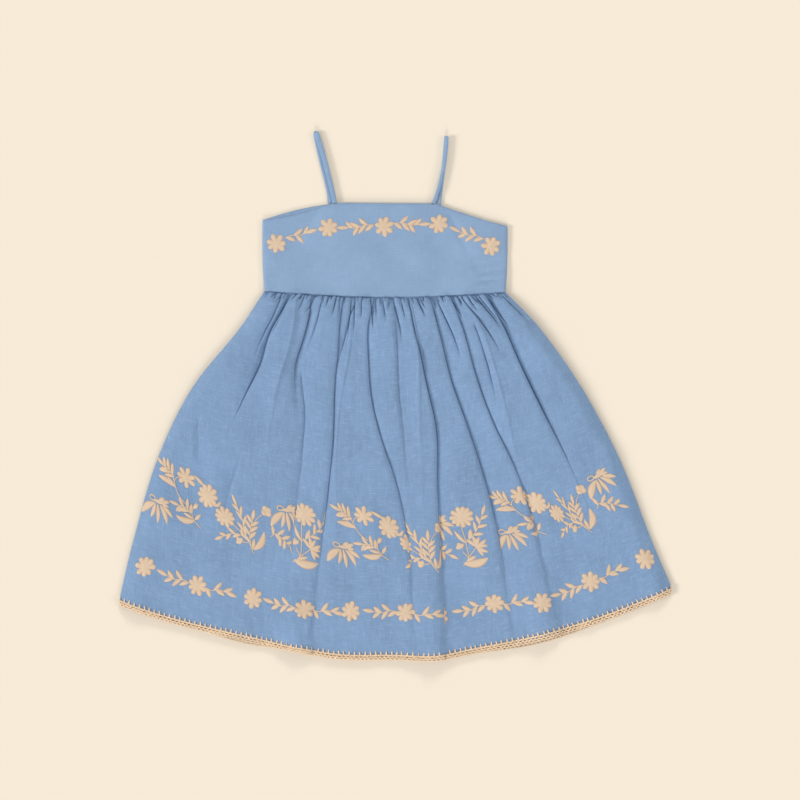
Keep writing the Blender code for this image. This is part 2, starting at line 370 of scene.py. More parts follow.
LAMPS = (
    Lamp("left light", azimuth=-75, height=24, share=0.41),
    Lamp("right light", azimuth=80, height=26, share=0.12),
    Lamp("top light", azimuth=172, height=24, share=0.24),
    Lamp("bottom light", azimuth=0, height=22, share=0.23),
)
LAMP_WIDTH = 15.0
FLOOR_REACH = 60
FLOOR_LEVEL = -0.0002
CAMERA_PLACE = (0.0049, -0.0037, 2.3226)
CAMERA_LENS = 85.0
CAMERA_SENSOR = 36.0


# Shaping in numpy.


def smooth_step(low, high, value):
    """0 below low, 1 above high, and a smooth rise between."""
    share = np.clip((value - low) / (high - low), 0.0, 1.0)
    return share * share * (3.0 - 2.0 * share)


def spline(values, at):
    """Catmull-Rom values through evenly spaced ones, at shares from 0 to 1."""
    values = np.asarray(values, float)
    last = len(values) - 1
    padded = np.concatenate(([2 * values[0] - values[1]], values, [2 * values[-1] - values[-2]]))
    at = np.clip(at, 0.0, 1.0)
    step = np.minimum((at * last).astype(int), last - 1)
    share = at * last - step
    before, start, end, after = (padded[step + k] for k in range(4))
    slope = end - before
    bend = 2 * before - 5 * start + 4 * end - after
    twist = 3 * (start - end) + after - before
    return start + 0.5 * share * (slope + share * (bend + share * twist))


def lengths_along(line):
    """How far each point of a line lies from its first."""
    return np.concatenate(([0], np.cumsum(np.linalg.norm(np.diff(line, axis=0), axis=1))))


def ring_of(aside, above, wide, high):
    """Rings of offsets, each square to its line: so wide along aside, and so high along above."""
    return aside[:, None, :] * wide[None, :, None] + above[:, None, :] * high[None, :, None]


def waves(table, across):
    """The sum of a table of smooth waves at shares of the width."""
    return sum(wave.size * np.exp(-(((across - wave.across) / wave.half_width) ** 2)) for wave in table)


def side(table, down):
    """The x and y of a line through a table of places, at shares of its length."""
    return spline([place.x for place in table], down), spline([place.y for place in table], down)


def waist_y(across):
    """The waist seam, which sags between its ends."""
    left, right = WAIST_ENDS_Y
    return left + (right - left) * across - WAIST_SAG * np.sin(np.pi * across)


def hem_y(across):
    """The hem, which bows down and waves."""
    left, right = LEFT_SIDE[-1].y, RIGHT_SIDE[-1].y
    bow = HEM_BOW * (1.0 - (2.0 * across - 1.0) ** 2)
    return left + (right - left) * across - bow - waves(HEM_WAVES, across)


def skirt_plan(across, down, longer=0.0):
    """The points of a skirt panel on the table: a patch between the waist, the hem and the sides."""
    left, right = side(LEFT_SIDE, down), side(RIGHT_SIDE, down)
    corners = (LEFT_SIDE[0], RIGHT_SIDE[0], LEFT_SIDE[-1], RIGHT_SIDE[-1])
    waist = (LEFT_SIDE[0].x + (RIGHT_SIDE[0].x - LEFT_SIDE[0].x) * across, waist_y(across))
    hem = (LEFT_SIDE[-1].x + (RIGHT_SIDE[-1].x - LEFT_SIDE[-1].x) * across, hem_y(across) - longer)
    point = []
    for axis in (0, 1):
        ruled = (1 - down) * waist[axis] + down * hem[axis]
        ruled += (1 - across) * left[axis] + across * right[axis]
        ruled -= (1 - down) * ((1 - across) * corners[0][axis] + across * corners[1][axis])
        ruled -= down * ((1 - across) * corners[2][axis] + across * corners[3][axis])
        point.append(ruled)
    return point


def skirt_width(down):
    """From one side to the other at shares of the length."""
    return side(RIGHT_SIDE, down)[0] - side(LEFT_SIDE, down)[0]


def crease_centre(crease, down):
    """Where a crease runs at shares of the length. Past its ends it keeps its share of the width."""
    last = min(1.0, crease.end)
    return spline(crease.path, (down - crease.start) / (last - crease.start))


def crease_reach(crease, down):
    """How open a crease is: it opens fast at its start and dies slowly."""
    before, after = CREASE_START
    opens = smooth_step(crease.start + before, crease.start + after, down)
    length = crease.end - crease.start
    return opens * (1.0 - smooth_step(crease.end - CREASE_FADE * length, crease.end, down))


def creases_depth(creases, across, down):
    """How deep the creases cut: a slope of its own on each side, and a slit at the bottom.

    They widen on the way down, and near the hem they are shallow and blunt.
    """
    total = np.zeros_like(across)
    width = skirt_width(down)
    slit = SLIT_SHARE * (1.0 - smooth_step(*SLIT_FADE, down))
    slit_width = SLIT_WIDTH + SLIT_WIDENS * smooth_step(0.0, 0.6, down)
    spread = SLOPE_SPREAD + SLOPE_WIDENS * smooth_step(0.0, 0.5, down)
    near_hem = smooth_step(*HEM_SOFTENS, down)
    blunt = BLUNT + BLUNT_GROWS * smooth_step(0.1, 0.9, down) + BLUNT_AT_HEM * near_hem
    worn = 1.0 - WEAR_AT_HEM * near_hem
    for crease in creases:
        away = (across - crease_centre(crease, down)) * width
        slope = np.where(away < 0, crease.left, crease.right) * spread
        cut = SLOPE_SHARE * np.exp(-(np.hypot(away, blunt) - blunt) / slope)
        cut += slit * np.exp(-((away / slit_width) ** 2))
        total += crease.depth * worn * crease_reach(crease, down) * cut
    return total


@cache
def puckers():
    """The small gathers under the waist seam: short creases at uneven steps."""
    dice = np.random.default_rng(PUCKER_SEED)
    made = []
    at = 0.010
    while at < 0.992:
        length = dice.uniform(0.018, 0.050)
        depth = dice.uniform(0.0014, 0.0034)
        left, right = dice.uniform(0.0007, 0.0022, 2)
        made.append(Crease("stitch pucker", 0.0, length, (at, at, at, at), depth, left, right, 0.0))
        at += dice.uniform(0.010, 0.026)
    at = 0.018
    while at < 0.985:
        length = dice.choice((0.035, 0.06, 0.10, 0.16, 0.24), p=(0.22, 0.26, 0.22, 0.18, 0.12))
        length *= dice.uniform(0.8, 1.2)
        drift = (at - 0.5) * 0.03 + dice.normal(0.0, 0.006)
        path = (at, at + 0.3 * drift, at + 0.7 * drift, at + drift)
        depth = dice.uniform(0.0018, 0.0042)
        steep, easy = dice.uniform(0.0008, 0.0018), dice.uniform(0.0025, 0.0060)
        left, right = (steep, easy) if dice.random() < 0.6 else (easy, steep)
        made.append(Crease("pucker", 0.0, length, path, depth, left, right, 0.0))
        at += dice.uniform(0.013, 0.034)
    return tuple(made)


def crumples(x, y, kind):
    """Smooth random waves of a kind's height, with their lengths across the cloth, stretched down it."""
    dice = np.random.default_rng(kind.seed)
    total = np.zeros_like(x)
    for _ in range(kind.count):
        wave = 2 * np.pi / dice.uniform(kind.shortest, kind.longest)
        angle = dice.uniform(0, np.pi)
        shift = dice.uniform(0, 2 * np.pi)
        total += np.sin(wave * (x * np.cos(angle) + y * np.sin(angle) / kind.stretch) + shift)
    return kind.height * total / math.sqrt(kind.count)


def side_roll(across, down):
    """0 at the side folds and 1 further in, where the front stands off the back."""
    inward = np.minimum(across, 1.0 - across) * skirt_width(down) / SIDE_ROLL
    return np.sin(0.5 * np.pi * np.minimum(1.0, inward))


def back_lift(across, down):
    """The underside of the back skirt, which lies on the table but for its soft ridges."""
    return side_roll(across, down) * -creases_depth(BACK_CREASES, across, down)


def front_lift(across, down, x, y):
    """The underside of the front skirt, over the back one."""
    loft = np.interp(down, LOFT_AT, LOFT)
    loft += waves(HEM_LIFTS, across) * smooth_step(*HEM_LIFT_FROM, down)
    loft -= FOLD_DEPTH * creases_depth(FRONT_CREASES + puckers(), across, down)
    loft += (1.0 - smooth_step(*BUNCHED_FADE, down)) * crumples(x, 0 * y, BUNCHED)
    loft += smooth_step(*LOOSE_FROM, down) * (crumples(x, y, BROAD) + crumples(x, y, FINE))
    loft = LEAST_LOFT + LOFT_EASING * np.logaddexp(0.0, (loft - LEAST_LOFT) / LOFT_EASING)
    over_back = np.maximum(0.0, back_lift(across, down)) + SKIRT_CLOTH + 2 * SEAM_GAP
    return over_back + side_roll(across, down) * loft


# Meshes.


def link(mesh, name, material):
    """A new piece that rides on the dress's one body."""
    piece = bpy.data.objects.new(name, mesh)
    bpy.context.scene.collection.objects.link(piece)
    mesh.materials.append(material)
    mesh.shade_smooth()
    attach(piece, BODY)
    return piece


def cloth_sheet(name, points, threads, material, thickness):
    """A sheet of cloth through a grid of points, with its threads' own coordinates as a UV map."""
    rows, columns = points.shape[:2]
    mesh = bpy.data.meshes.new(name)
    shape = bmesh.new()
    bmesh.ops.create_grid(shape, x_segments=columns - 1, y_segments=rows - 1, size=1.0)
    shape.to_mesh(mesh)
    shape.free()
    square = np.empty(len(mesh.vertices) * 3, np.float32)
    mesh.vertices.foreach_get("co", square)
    square = square.reshape(-1, 3)
    column = np.rint((square[:, 0] + 1) / 2 * (columns - 1)).astype(int)
    row = np.rint((1 - square[:, 1]) / 2 * (rows - 1)).astype(int)
    mesh.vertices.foreach_set("co", points[row, column].astype(np.float32).ravel())
    corners = np.empty(len(mesh.loops), np.int32)
    mesh.loops.foreach_get("vertex_index", corners)
    weave = mesh.uv_layers.new(name="weave")
    weave.data.foreach_set("uv", threads[row, column][corners].astype(np.float32).ravel())
    piece = link(mesh, name, material)
    wall = piece.modifiers.new("cloth", "SOLIDIFY")
    wall.thickness = thickness
    wall.offset = 1.0
    return piece


def patchwork(name, patches, material, maps=("thread",)):
    """One mesh of many small patches, each a grid of points and its coordinates in each UV map."""
    points, layers, faces = [], [[] for _ in maps], []
    count = 0
    for place, *coordinates in patches:
        rows, columns = place.shape[:2]
        index = count + np.arange(rows * columns).reshape(rows, columns)
        quads = np.stack((index[:-1, :-1], index[1:, :-1], index[1:, 1:], index[:-1, 1:]), axis=-1)
        points.append(place.reshape(-1, 3))
        for layer, grid in zip(layers, coordinates):
            layer.append(grid.reshape(-1, 2))
        faces.append(quads.reshape(-1, 4))
        count += rows * columns
    points, faces = np.concatenate(points), np.concatenate(faces)
    mesh = bpy.data.meshes.new(name)
    mesh.from_pydata(points.tolist(), [], faces.tolist())
    for key, layer in zip(maps, layers):
        corners = np.concatenate(layer)[faces.ravel()]
        mesh.uv_layers.new(name=key).data.foreach_set("uv", corners.astype(np.float32).ravel())
    mesh.update()
    return link(mesh, name, material)


class ClothMap:
    """Carries points in the cloth's own coordinates (s, t, h) onto its folded sheet."""

    PITCH = 0.001

    def __init__(self, points, across, up):
        """From a sheet's grid of points, and how far each lies across and up the cloth."""
        self.points = points
        rows, columns = points.shape[:2]
        downward, rightward = np.gradient(points, axis=0), np.gradient(points, axis=1)
        normals = np.cross(downward, rightward)
        self.normals = normals / np.linalg.norm(normals, axis=2, keepdims=True)
        outward = points[-1] - points[-3]
        self.outward = outward / np.linalg.norm(outward, axis=1, keepdims=True)
        self.low_s = across.min()
        s = np.arange(across.min(), across.max(), self.PITCH)
        t = np.arange(0.0, up.max(), self.PITCH)
        column_at = np.array([np.interp(s, across[r], np.arange(columns)) for r in range(rows)])
        up_at = np.array([np.interp(column_at[r], np.arange(columns), up[r]) for r in range(rows)])
        row_of = np.arange(rows)
        self.row = np.empty((len(t), len(s)))
        self.column = np.empty((len(t), len(s)))
        for k in range(len(s)):
            self.row[:, k] = np.interp(t, up_at[::-1, k], row_of[::-1])
            self.column[:, k] = np.interp(self.row[:, k], row_of, column_at[:, k])

    @staticmethod
    def blend(grid, row, column):
        """Bilinear values of a grid at fractional rows and columns."""
        row = np.clip(row, 0, grid.shape[0] - 1.001)
        column = np.clip(column, 0, grid.shape[1] - 1.001)
        r, c = row.astype(int), column.astype(int)
        a, b = row - r, column - c
        if grid.ndim == 3:
            a, b = a[..., None], b[..., None]
        top = grid[r, c] * (1 - b) + grid[r, c + 1] * b
        bottom = grid[r + 1, c] * (1 - b) + grid[r + 1, c + 1] * b
        return top * (1 - a) + bottom * a

    def at(self, place):
        """World points for an array of (s, t, h). A negative t goes on past the hem."""
        s, t, h = place[..., 0], place[..., 1], place[..., 2]
        column_s, row_t = (s - self.low_s) / self.PITCH, np.maximum(t, 0.0) / self.PITCH
        row = self.blend(self.row, row_t, column_s)
        column = self.blend(self.column, row_t, column_s)
        world = self.blend(self.points, row, column)
        world = world + self.blend(self.normals, row, column) * h[..., None]
        past = self.blend(np.stack((self.outward, self.outward)), np.zeros_like(column), column)
        return world + past * np.maximum(-t, 0.0)[..., None]

    def open_at(self, s, reach=0.001, tucked=0.7):
        """Whether the hem shows at s. Where it is tucked, it spans less than that share of the cloth."""
        left, right = self.at(np.array(((s - reach, 0.0, 0.0), (s + reach, 0.0, 0.0))))
        return np.linalg.norm(right - left) > tucked * 2 * reach

    def squared(self, place, s, t, reach=0.030):
        """Leans what is drawn round (s, t), so that its upright is square to the cloth's width."""
        left, right, low, high = self.at(
            np.array(((s - reach, t, 0), (s + reach, t, 0), (s, t - reach, 0), (s, t + reach, 0)))
        )
        across, up = right - left, high - low
        lean = across @ up / np.linalg.norm(across) / np.linalg.norm(up)
        rise = (place[..., 1] - t) / math.sqrt(1 - lean**2)
        return np.stack((place[..., 0] - lean * rise, t + rise, place[..., 2]), axis=-1)


# The cloth of each panel.


def leading_creases():
    """The creases that columns follow, and the share of the width that each runs along."""
    leaders = [c for c in FRONT_CREASES if c.name in LEADING_CREASES]
    return leaders, [float(np.mean(crease_centre(c, np.linspace(0, 1, 9)))) for c in leaders]


def close_steps():
    """Shares of the width for the columns, which stand closer by the leading creases."""
    fine = np.linspace(0, 1, 2000)
    dense = 1.0 + sum(
        EXTRA_COLUMNS * np.exp(-(((fine - at) / CLOSE_WITHIN) ** 2)) for at in leading_creases()[1]
    )
    total = np.concatenate(([0], np.cumsum(0.5 * (dense[1:] + dense[:-1]))))
    return np.interp(np.linspace(0, 1, FRONT_COLUMNS), total / total[-1], fine)


def leading_columns(steps, down):
    """Shares of the width for columns that run along the leading creases."""
    leaders, mean = leading_creases()
    mean = [0.0, *mean, 1.0]
    lines = [np.zeros_like(down)] + [crease_centre(c, down) for c in leaders] + [np.ones_like(down)]
    lines = np.stack(lines, axis=1)
    return np.array([np.interp(steps, mean, line) for line in lines])


def arc_lengths(points, axis):
    """How far each point of a grid lies from the first, along the cloth."""
    steps = np.linalg.norm(np.diff(points, axis=axis), axis=2)
    start = np.zeros_like(steps[:1] if axis == 0 else steps[:, :1])
    return np.concatenate((start, np.cumsum(steps, axis=axis)), axis=axis)


@cache
def front_skirt():
    """The front skirt's points, how far each lies across and up the cloth, and across without tucks."""
    down = np.linspace(0, 1, FRONT_ROWS) ** ROW_POWER
    across = leading_columns(close_steps(), down)
    down = np.repeat(down[:, None], FRONT_COLUMNS, axis=1)
    x, y = skirt_plan(across, down)
    y = y + WAIST_TUCK * (1.0 - smooth_step(0.0, WAIST_TUCK_END, down))
    z = front_lift(across, down, x, y) + (SKIRT_CLOTH - SKIRT_TOP_CLOTH)
    points = np.stack((x, y, z), axis=2)
    bare = arc_lengths(points, 1)
    hidden = np.zeros_like(bare)
    for crease in FRONT_CREASES:
        away = (across - crease_centre(crease, down)) * skirt_width(down)
        hidden += crease.tuck * crease_reach(crease, down) * smooth_step(-TUCK_EDGE, TUCK_EDGE, away)
    t = arc_lengths(points[::-1], 0)[::-1]
    middled = []
    for s in (bare + hidden, bare):
        middle = np.array([np.interp(0.5, across[r], s[r]) for r in range(FRONT_ROWS)])
        middled.append(s - middle[:, None])
    return points, middled[0], t, middled[1]


@cache
def front_map(tucked):
    """The front skirt's map. Untucked, it takes no account of the cloth that the creases hide."""
    points, s, t, bare = front_skirt()
    top = ClothMap(points, s if tucked else bare, t)
    top.points = points + top.normals * SKIRT_TOP_CLOTH
    return top


def even_grid(rows, columns):
    """Shares down and across for a grid with even steps."""
    return np.meshgrid(np.linspace(0, 1, rows), np.linspace(0, 1, columns), indexing="ij")


@cache
def back_skirt():
    """The back skirt's points, and how far each lies across and up the cloth."""
    down, across = even_grid(BACK_ROWS, BACK_COLUMNS)
    x, y = skirt_plan(across, down, waves(BACK_HEM_DROPS, across))
    points = np.stack((x, y, back_lift(across, down)), axis=2)
    s = arc_lengths(points, 1)
    return points, s - s[:, BACK_COLUMNS // 2, None], arc_lengths(points[::-1], 0)[::-1]


def neck_y(across, armholes, sag):
    """The top edge of a bodice panel: straight between the straps, with an armhole on each side."""
    left = np.clip(across / STRAP_LEFT_AT, 0, 1)
    right = np.clip((1 - across) / (1 - STRAP_RIGHT_AT), 0, 1)
    middle = np.clip((across - STRAP_LEFT_AT) / (STRAP_RIGHT_AT - STRAP_LEFT_AT), 0, 1)
    top = NECK_Y[0] + (NECK_Y[1] - NECK_Y[0]) * middle
    top = top + (armholes[0] - NECK_Y[0]) * (1 - left) - sag[0] * np.sin(np.pi * left)
    return top + (armholes[1] - NECK_Y[1]) * (1 - right) - sag[1] * np.sin(np.pi * right)


def bodice_plan(across, down, armholes, sag):
    """The points of a bodice panel on the table."""
    top_x = BODICE_TOP_X[0] + (BODICE_TOP_X[1] - BODICE_TOP_X[0]) * across
    base_x = BODICE_BASE_X[0] + (BODICE_BASE_X[1] - BODICE_BASE_X[0]) * across
    top_y, base_y = neck_y(across, armholes, sag), waist_y(across) + SEAM_GAP
    return top_x + (base_x - top_x) * down**3, top_y + (base_y - top_y) * down


def dips(table, x, y):
    """How deep straight creases cut, each fading at its ends."""
    total = np.zeros_like(x)
    for line in table:
        along_x, along_y = line.x1 - line.x0, line.y1 - line.y0
        length = math.hypot(along_x, along_y)
        share = ((x - line.x0) * along_x + (y - line.y0) * along_y) / length**2
        away = ((x - line.x0) * along_y - (y - line.y0) * along_x) / length
        fade = smooth_step(-0.15, 0.3, share) * (1 - smooth_step(0.6, 1.15, share))
        total += line.depth * fade * np.exp(-((away / line.half_width) ** 2))
    return total


@cache
def front_bodice():
    """The bodice front's grid of points, cushioned by air and level with the skirt at the seam."""
    rows = 0.5 - 0.5 * np.cos(np.pi * np.linspace(0.06, 0.94, BODICE_ROWS))
    rows = (rows - rows[0]) / (rows[-1] - rows[0])
    down, across = np.meshgrid(rows, np.linspace(0, 1, BODICE_COLUMNS), indexing="ij")
    x, y = bodice_plan(across, down, FRONT_ARMHOLES_Y, FRONT_ARMHOLE_SAGS)
    over_back = BODICE_CLOTH + 2 * SEAM_GAP
    air = BODICE_AIR * np.sin(np.pi * across) ** 0.6 * np.sin(np.pi * down) ** 0.7
    z = over_back + air - dips(BODICE_CREASES, x, y)
    z += np.sin(np.pi * down) * crumples(x, y, BODICE_WAVES)
    z += SEAM_RISE * down**8
    inward = np.minimum(np.minimum(across, 1 - across) * BODICE_WIDTH, down * BODICE_HEIGHT)
    z -= EDGE_ROLL * (1 - np.sin(0.5 * np.pi * np.minimum(1.0, inward / EDGE_WIDTH)))
    return np.stack((x, y, z), axis=2)


@cache
def bodice_map():
    """The bodice front's map, up from the lowest point of its seam."""
    points = front_bodice()
    top = ClothMap(points, points[..., 0], points[..., 1] - points[..., 1].min())
    top.points = points + top.normals * BODICE_CLOTH
    return top


# Embroidery, drawn on the cloth in millimetres.


class Needlework:
    """Satin stitch: raised lenses of thread, drawn in the cloth's coordinates."""

    def __init__(self, raise_by):
        """With the height of the stitches, in metres."""
        self.raise_by = raise_by / MM
        self.patches = []

    def lens(self, spine, half_width, slant=0.0, fullness=1.0):
        """A raised patch along a spine. With a slant its stitches cross it, else they follow it."""
        ahead = np.gradient(spine, axis=0)
        ahead /= np.linalg.norm(ahead, axis=1, keepdims=True)
        aside = np.stack((-ahead[:, 1], ahead[:, 0]), axis=1)
        share = np.linspace(-1, 1, LENS_COLUMNS)
        reach = half_width[:, None] * share[None, :]
        place = spine[:, None, :] + aside[:, None, :] * reach[..., None]
        ends = np.minimum(1.0, 1.6 * half_width / half_width.max())
        height = GROUND + self.raise_by * fullness * ends[:, None] * np.sqrt(1 - share**2)[None, :]
        along = lengths_along(spine)[:, None] + 0 * reach
        thread = (along + slant * np.abs(reach), reach) if slant else (reach, along)
        # Each point's share of the way out to the edge, kept as a UV map for the painted shade that
        # darkens the satin stitch along its edges.
        painted_rim_shade = np.broadcast_arrays(np.abs(share)[None, :], 0 * reach)
        self.patches.append((np.dstack((place, height)) * MM, np.dstack(thread) * MM, np.dstack(painted_rim_shade)))

    def leaf(self, x, y, angle, length, width, bend=0.0):
        """A pointed leaf from its foot. Its bend is a share of its length, to the left of its way."""
        share = np.linspace(0, 1, LENS_ROWS)
        turn = math.radians(angle)
        forward, sideways = length * share, bend * length * np.sin(np.pi * share)
        spine_x = x + forward * math.cos(turn) - sideways * math.sin(turn)
        spine_y = y + forward * math.sin(turn) + sideways * math.cos(turn)
        half_width = 0.57 * width * np.sin(np.pi * (0.05 + 0.92 * share)) ** 0.8
        self.lens(np.stack((spine_x, spine_y), axis=1), half_width, slant=0.7)

    def petal(self, x, y, angle, inner, outer, half_width):
        """A petal with a round end, from inner to outer."""
        shoulder = outer - 1.1 * half_width
        round_end = np.sin(np.linspace(0, 0.5 * np.pi, 5))[1:]
        straight = np.linspace(inner, shoulder, LENS_ROWS - len(round_end))
        radius = np.concatenate((straight, shoulder + round_end * (outer - shoulder)))
        cap = np.sqrt(np.clip(1 - (np.maximum(radius - shoulder, 0) / (outer - shoulder)) ** 2, 0.02, 1))
        reach = half_width * cap * (0.72 + 0.28 * np.minimum(1.0, radius / shoulder))
        turn = math.radians(angle)
        spine = np.stack((x + radius * math.cos(turn), y + radius * math.sin(turn)), axis=1)
        self.lens(spine, reach)

    def bloom(self, x, y, radius, petals, turn, notch=0.60):
        """A flower seen from above. Its petals part beyond the notch, a share of its radius."""
        half_width = 1.04 * math.tan(math.pi / petals) * notch * radius
        for k in range(petals):
            uneven = math.sin(5.0 * k + 0.7 * x)
            outer = radius * (1 + 0.07 * uneven)
            self.petal(x, y, turn + (360 * k + 40 * uneven) / petals, 0.3 * radius, outer, half_width)
        share = np.linspace(-1, 1, LENS_ROWS + 2)
        core = min(0.64, 1.06 * notch) * radius
        spine = np.stack((x + 0 * share, y + 0.7 * core * share), axis=1)
        reach = core * np.sqrt(np.clip(1 - (0.9 * share) ** 2, 0.0, 1))
        self.lens(spine, reach, slant=0.02, fullness=1.12)

    def stem(self, points, width=STEM_WIDTH):
        """A curved line of stitches. Returns the points along it."""
        points = np.asarray(points, float)
        share = np.linspace(0, 1, 4 * len(points))
        spine = np.stack((spline(points[:, 0], share), spline(points[:, 1], share)), axis=1)
        self.lens(spine, np.full(len(spine), width / 2), fullness=0.8)
        return spine

    def sprig(self, stem, leaves, length, width, first=1, spread=40, start=0.2, last=0.86, paired=0.0):
        """A stem with leaves on alternate sides, and one at its tip. Paired draws each two together."""
        spine = self.stem(stem)
        heading = np.unwrap(np.arctan2(*np.gradient(spine, axis=0).T[::-1]))
        rows = np.arange(len(spine))
        for k in range(leaves):
            share = start + (last - start) * (k + (paired if k % 2 else 0)) / max(1, leaves - 1)
            at = share * (len(spine) - 1)
            x, y, ahead = (np.interp(at, rows, line) for line in (spine[:, 0], spine[:, 1], heading))
            aside = first * (1 if k % 2 else -1)
            grown = length * (1.0 - 0.16 * abs(2 * k / max(1, leaves - 1) - 0.8))
            self.leaf(x, y, math.degrees(ahead) + aside * spread, grown, width, bend=-0.05 * aside)
        self.leaf(*spine[-1], math.degrees(heading[-1]), length, width)

    def fan(self, x, y, angles, length, width):
        """Leaves that spread from one point."""
        for k, angle in enumerate(angles):
            self.leaf(x, y, angle, length * (1 - 0.12 * (k % 2)), width, bend=0.05 if k % 2 else -0.05)

    def lily(self, x, y, turn):
        """A bow over five long petals, hung from its knot."""
        c, s = math.cos(math.radians(turn)), math.sin(math.radians(turn))

        def turned(across, up):
            """A place beside the knot, turned with the lily."""
            return x + across * c - up * s, y + across * s + up * c

        for leaf in LILY_PETALS + LILY_BOW:
            foot = turned(leaf.across, leaf.up)
            self.leaf(*foot, leaf.angle + turn, leaf.length, leaf.width, leaf.bend)
        around = np.radians(np.linspace(-30, 330, 16))
        ring = turned(-7.2 + 3.9 * np.cos(around), 5.6 + 2.8 * np.sin(around))
        self.lens(np.stack(ring, axis=1), np.full(len(around), 0.85), slant=0.7)

    def bud(self, x, y, turn):
        """A closed flower of three lobes."""
        for aside, length in ((-58, 6.0), (58, 6.0), (0, 7.0)):
            angle = math.radians(turn + aside)
            self.petal(x, y, turn + aside, -0.5, length + 0.5 * math.cos(angle), 2.9)

    def carried(self, cloth, moved=lambda place: place):
        """The patches, moved and laid on a cloth."""
        return [(cloth.at(moved(place)), thread, painted_rim_shade) for place, thread, painted_rim_shade in self.patches]


def on_the_grain(place, repeat):
    """Moves a motif by whole repeats, along the leaning grain and into the slack cloth at the right."""
    s, t, h = place[..., 0], place[..., 1], place[..., 2]
    s = s + repeat * BAND_REPEAT * MM * (1 - GRAIN_LEAN * (t - GRAIN_LEVEL))
    s = s - RIGHT_SLACK * smooth_step(*RIGHT_SLACK_FROM, s)
    return np.stack((s, t, h), axis=-1)


def branch(work, x):
    """A curved branch with a round flower, a full one and, under it, a bow-lily."""
    work.stem(((x + 16, 172), (x + 18, 163), (x + 23, 150), (x + 32, 141)))
    work.stem(((x + 52, 117), (x + 44, 124), (x + 41, 131), (x + 43, 140), (x + 47, 146)))
    work.stem(((x + 18, 163), (x + 21, 168), (x + 26, 170)))
    work.leaf(x + 43, 138, 48, 8.5, 4.6)
    work.bloom(x + 33, 171.5, 12.0, 7, 18, notch=0.52)
    work.bloom(x + 61, 158, 13.4, 10, 4, notch=0.76)
    work.sprig(((x + 18, 168), (x + 12, 173), (x + 6, 176)), 6, 14, 4.3, first=-1, spread=50, start=0.0)
    work.leaf(x + 19.5, 157, 166, 22, 6.6, bend=-0.06)
    work.leaf(x + 20, 156, 138, 13.5, 4.0)
    work.sprig(((x + 40, 131), (x + 34, 136), (x + 25, 137)), 6, 13, 4.1, spread=54, start=0.05)
    work.leaf(x + 44, 124, 181, 23, 7.2, bend=0.12)
    work.leaf(x + 43, 126, 164, 13, 3.8)
    work.leaf(x + 45, 125, 50, 11, 4.0)
    work.leaf(x + 57, 168, 146, 16.5, 4.3)
    work.leaf(x + 67, 149, 30, 12, 4.0, bend=-0.22)
    work.lily(x - 2, 129, 0)


def bouquet(work, x):
    """A fan of leafy stems with a daisy, a bud and a small blossom."""
    work.stem(((x + 119, 102), (x + 112, 116), (x + 101, 126), (x + 89, 134)))
    work.sprig(((x + 113, 114), (x + 107, 126), (x + 104, 141), (x + 98, 154)), 6, 14.5, 3.9, spread=26)
    upright = ((x + 116, 108), (x + 114, 120), (x + 115, 132), (x + 117, 142))
    work.sprig(upright, 7, 13.5, 4.4, first=-1, spread=44)
    work.sprig(((x + 112, 116), (x + 103, 121), (x + 91, 120), (x + 80, 114)), 5, 11.5, 4.2, spread=36)
    work.stem(((x + 117, 134), (x + 122, 144), (x + 129, 151)), width=1.0)
    work.bloom(x + 82.5, 138, 12.2, 10, 0, notch=0.76)
    work.bloom(x + 134.5, 156.5, 6.8, 4, 40, notch=0.66)
    work.bud(x + 102, 112, 130)
    work.stem(((x + 105, 113), (x + 112, 114)))
    work.leaf(x + 119, 107, 62, 27, 7.6, bend=-0.13)
    work.leaf(x + 118, 107, 84, 13.5, 4.2)


def daisy_tree(work, x):
    """A full daisy on a forked stem over a broad leaf."""
    work.stem(((x + 176, 103), (x + 185, 111), (x + 187.5, 126), (x + 188, 152)))
    leaning = ((x + 188, 131), (x + 199, 138), (x + 209, 148), (x + 216, 160))
    work.sprig(leaning, 6, 13, 4.1, first=-1, spread=42)
    work.stem(((x + 184, 111), (x + 192, 117), (x + 200, 124)))
    work.fan(x + 199, 123, (96, 62, 28, -4, -36, -70, 132), 15, 4.7)
    work.bloom(x + 191.5, 163, 14.0, 11, 6, notch=0.76)
    work.leaf(x + 188, 130, 118, 21, 4.5, bend=0.05)
    work.leaf(x + 193, 134, 70, 12, 4.0)
    work.bud(x + 179.5, 126, 100)
    work.stem(((x + 181, 121), (x + 185, 113)))
    work.leaf(x + 178, 106, 2, 30, 10.0, bend=-0.12)
    work.leaf(x + 182, 108, 18, 13.5, 4.4)


def lily_and_sprig(work, x):
    """A bow-lily, and a sprig that leans the other way."""
    work.lily(x + 160, 160, 10)
    arched = ((x + 140, 127), (x + 146, 132), (x + 155, 128), (x + 164, 121))
    work.sprig(arched, 7, 12.5, 4.4, first=-1, spread=58)


# Crochet and blanket stitch, made of round threads.


def thread_tube(spine, radius, sides=6):
    """A round thread along points of (s, t, h), as a patch with its own thread coordinates."""
    ahead = np.gradient(spine, axis=0)
    ahead /= np.linalg.norm(ahead, axis=1, keepdims=True)
    nearly_up = np.array((0.01, 0.01, 1.0))
    aside = np.cross(ahead, nearly_up)
    aside /= np.linalg.norm(aside, axis=1, keepdims=True)
    above = np.cross(aside, ahead)
    turn = np.linspace(-np.pi / 2, 1.5 * np.pi, sides + 1)
    ring = ring_of(aside, above, np.cos(turn), np.sin(turn))
    along = lengths_along(spine)[:, None]
    around = turn[None, :] * radius
    thread = np.stack(np.broadcast_arrays(along + around, around), axis=2)
    return spine[:, None, :] + ring * radius, thread


